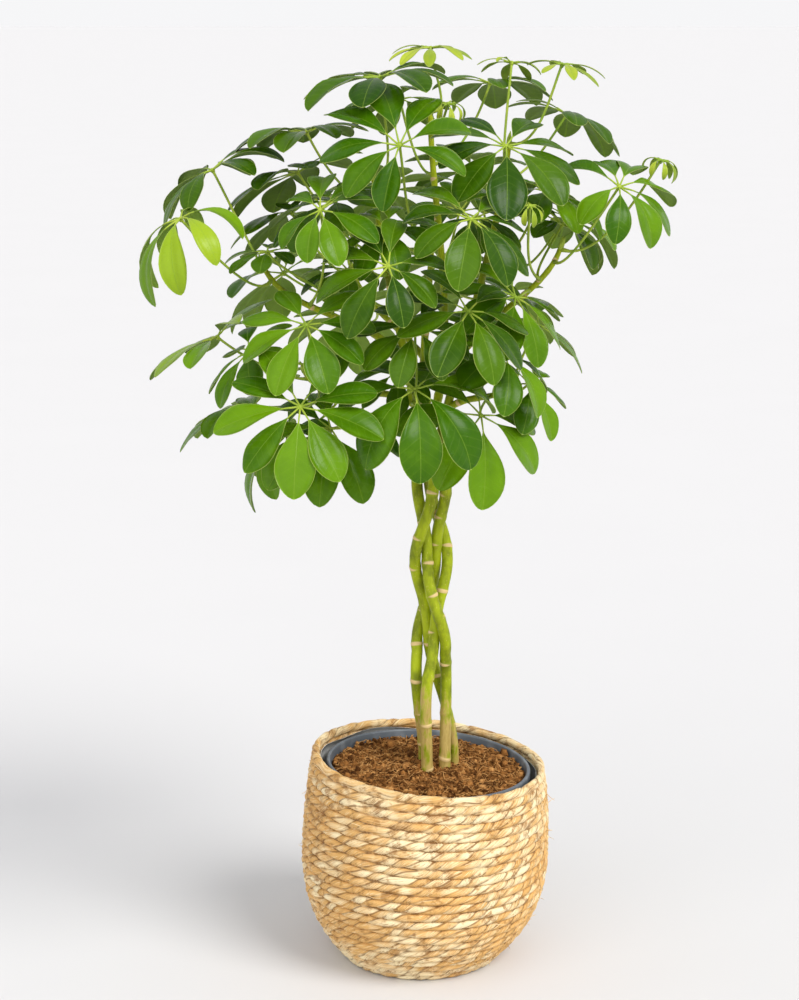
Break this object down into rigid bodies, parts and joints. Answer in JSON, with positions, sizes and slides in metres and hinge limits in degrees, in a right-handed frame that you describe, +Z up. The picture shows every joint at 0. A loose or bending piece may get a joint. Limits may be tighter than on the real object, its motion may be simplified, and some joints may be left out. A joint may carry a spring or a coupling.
{
  "type": "potted umbrella plant",
  "caption": "Umbrella plant with braided stems and a round crown of fingered leaves, rooted in soil in a nursery pot that stands in a woven straw basket with a thin liner",
  "frame": {"origin": "centre of the braid's foot, on the surface that the basket stands on", "axes": "+Z up the stems, +X to the right and -Y towards someone who faces the plant's front"},
  "size_m": [0.5163, 0.4251, 0.9214],
  "materials": {
    "straw": "twisted straw rope, matt, with darker gaps between the strands",
    "liner": "thin grey plastic sheet",
    "pot": "dark blue-grey moulded plastic",
    "soil": "coarse brown coir and peat",
    "bark": "smooth green bark, tan at the foot, with ring scars",
    "leaf_young": "soft yellow-green leaf",
    "leaf_mid": "glossy bright green leaf with a pale edge",
    "leaf_old": "glossy dark green leaf with a pale edge"
  },
  "bodies": {
    "root": {"basket": "straw", "leaf_01": "leaf_young", "leaf_02": "leaf_young", "leaf_03": "leaf_young", "leaf_04": "leaf_mid", "leaf_05": "leaf_mid", "leaf_06": "leaf_mid", "leaf_07": "leaf_mid", "leaf_08": "leaf_mid", "leaf_09": "leaf_old", "leaf_10": "leaf_mid", "leaf_11": "leaf_old", "leaf_12": "leaf_old", "leaf_13": "leaf_old", "leaf_14": "leaf_mid", "leaf_15": "leaf_old", "leaf_16": "leaf_old", "leaf_17": "leaf_mid", "leaf_18": "leaf_mid", "leaf_19": "leaf_mid", "leaf_20": "leaf_mid", "leaf_21": "leaf_young", "leaf_22": "leaf_young", "leaf_23": "leaf_young", "leaf_24": "leaf_old", "leaf_25": "leaf_old", "leaf_26": "leaf_old", "leaf_27": "leaf_old", "leaf_28": "leaf_mid", "leaf_29": "leaf_mid", "leaf_30": "leaf_mid", "leaf_31": "leaf_mid", "leaf_32": "leaf_mid", "leaf_33": "leaf_mid", "leaf_34": "leaf_old", "leaf_35": "leaf_old", "leaf_36": "leaf_old", "leaf_37": "leaf_mid", "leaf_38": "leaf_old", "leaf_39": "leaf_old", "leaf_40": "leaf_old", "leaf_41": "leaf_old", "leaf_42": "leaf_mid", "leaf_43": "leaf_old", "leaf_44": "leaf_mid", "leaf_45": "leaf_mid", "leaf_46": "leaf_mid", "leaf_47": "leaf_mid", "leaf_48": "leaf_mid", "leaf_49": "leaf_mid", "leaf_50": "leaf_old", "leaf_51": "leaf_old", "leaf_52": "leaf_old", "nursery_pot": "pot", "plastic_liner": "liner", "soil": "soil", "stem_back": "bark", "stem_front": "bark", "stem_left": "bark", "stem_right": "bark"}
  },
  "joints": []
}
